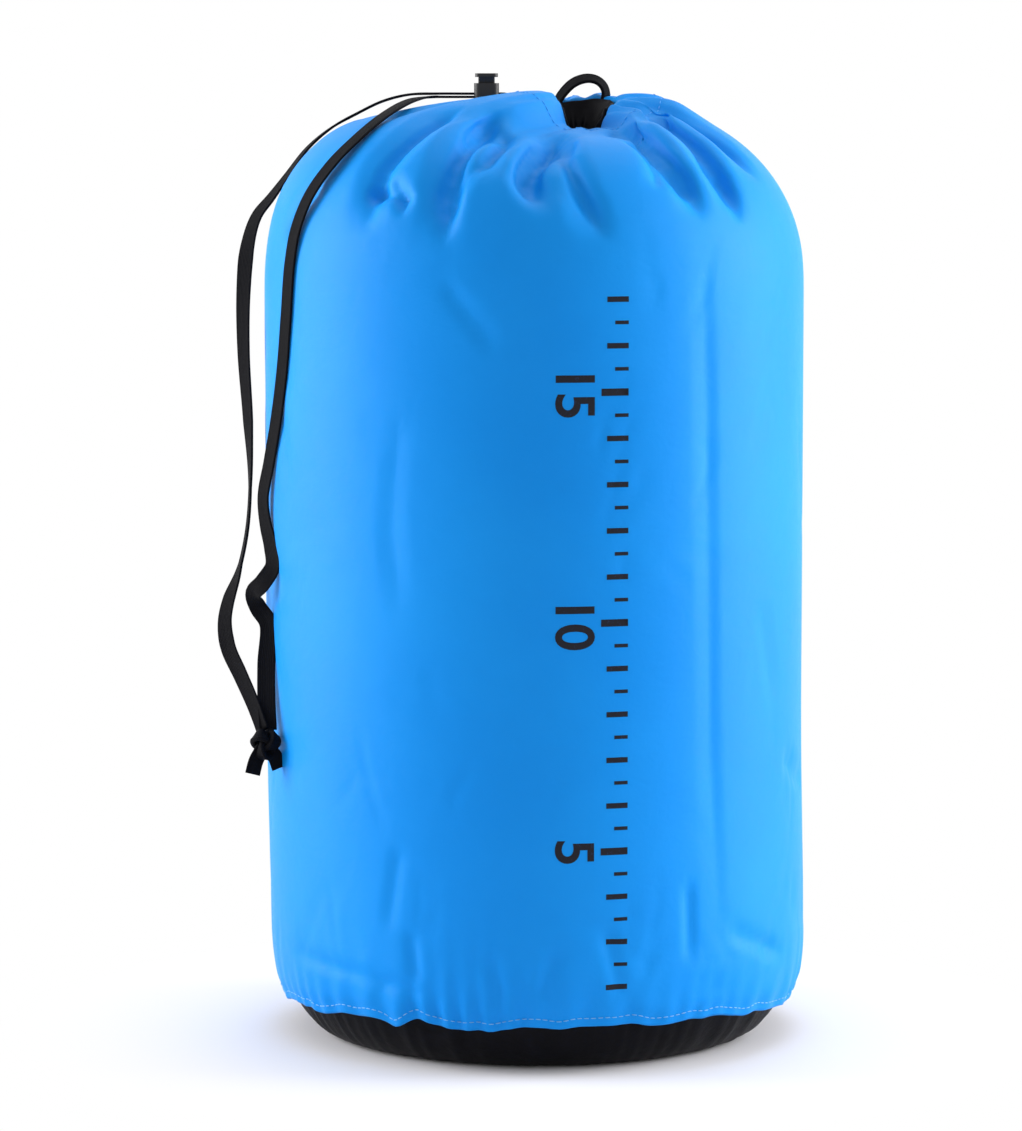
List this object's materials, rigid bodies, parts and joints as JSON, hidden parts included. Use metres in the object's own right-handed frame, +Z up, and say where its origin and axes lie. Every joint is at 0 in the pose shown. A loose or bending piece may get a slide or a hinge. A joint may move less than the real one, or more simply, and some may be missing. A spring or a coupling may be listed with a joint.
{
  "type": "compression sack",
  "caption": "Round upright fabric sack with a rounded base cup and a gathered mouth, drawn shut by a flat drawcord with a spring cord lock and hanging tails.",
  "frame": {"origin": "on the floor, under the axis of the sack's straight wall", "axes": "+Z up the sack, -Y towards its front, -X towards the cord lock and the hanging tails"},
  "size_m": [0.2693, 0.2507, 0.447],
  "materials": {
    "blue_cloth": "smooth coated nylon, azure blue",
    "black_cloth": "smooth coated nylon, black",
    "black_tape": "flat woven tape, black",
    "thread": "sewing thread, pale blue",
    "lock_plastic": "moulded plastic, black",
    "spring_steel": "bright wire"
  },
  "bodies": {
    "sack": {"body_panel": "blue_cloth", "base_panel": "black_cloth", "mouth_facing": "black_cloth", "base_hem_stitch": "thread", "channel_stitch": "thread", "base_seam_binding": "black_tape", "side_seam_binding": "black_tape", "side_seam_stitch_left": "thread", "side_seam_stitch_right": "thread", "drawcord_ring": "black_tape", "drawcord_tail_front": "black_tape", "drawcord_tail_back": "black_tape", "drawcord_knot": "black_tape"},
    "lock": {"lock_barrel": "lock_plastic", "lock_spring": "spring_steel"},
    "lock_button": {"lock_plunger": "lock_plastic"},
    "loop": {"hang_loop": "black_tape"}
  },
  "joints": [
    {"name": "lock_slide", "type": "slide", "parent": "sack", "child": "lock", "axis": [-1, 0, 0], "range_m": [0, 0.016]},
    {"name": "lock_press", "type": "slide", "parent": "lock", "child": "lock_button", "axis": [0, 0, -1], "range_m": [0, 0.0025], "stiffness_N_per_m": 800, "springref_m": -0.003, "deforming": ["lock_spring"]},
    {"name": "loop_flop", "type": "hinge", "parent": "sack", "child": "loop", "pos_m": [0.02, 0.0175, 0.4357], "axis": [1, 0, 0], "range_deg": [-35, 35], "stiffness_Nm_per_rad": 0.002}
  ]
}
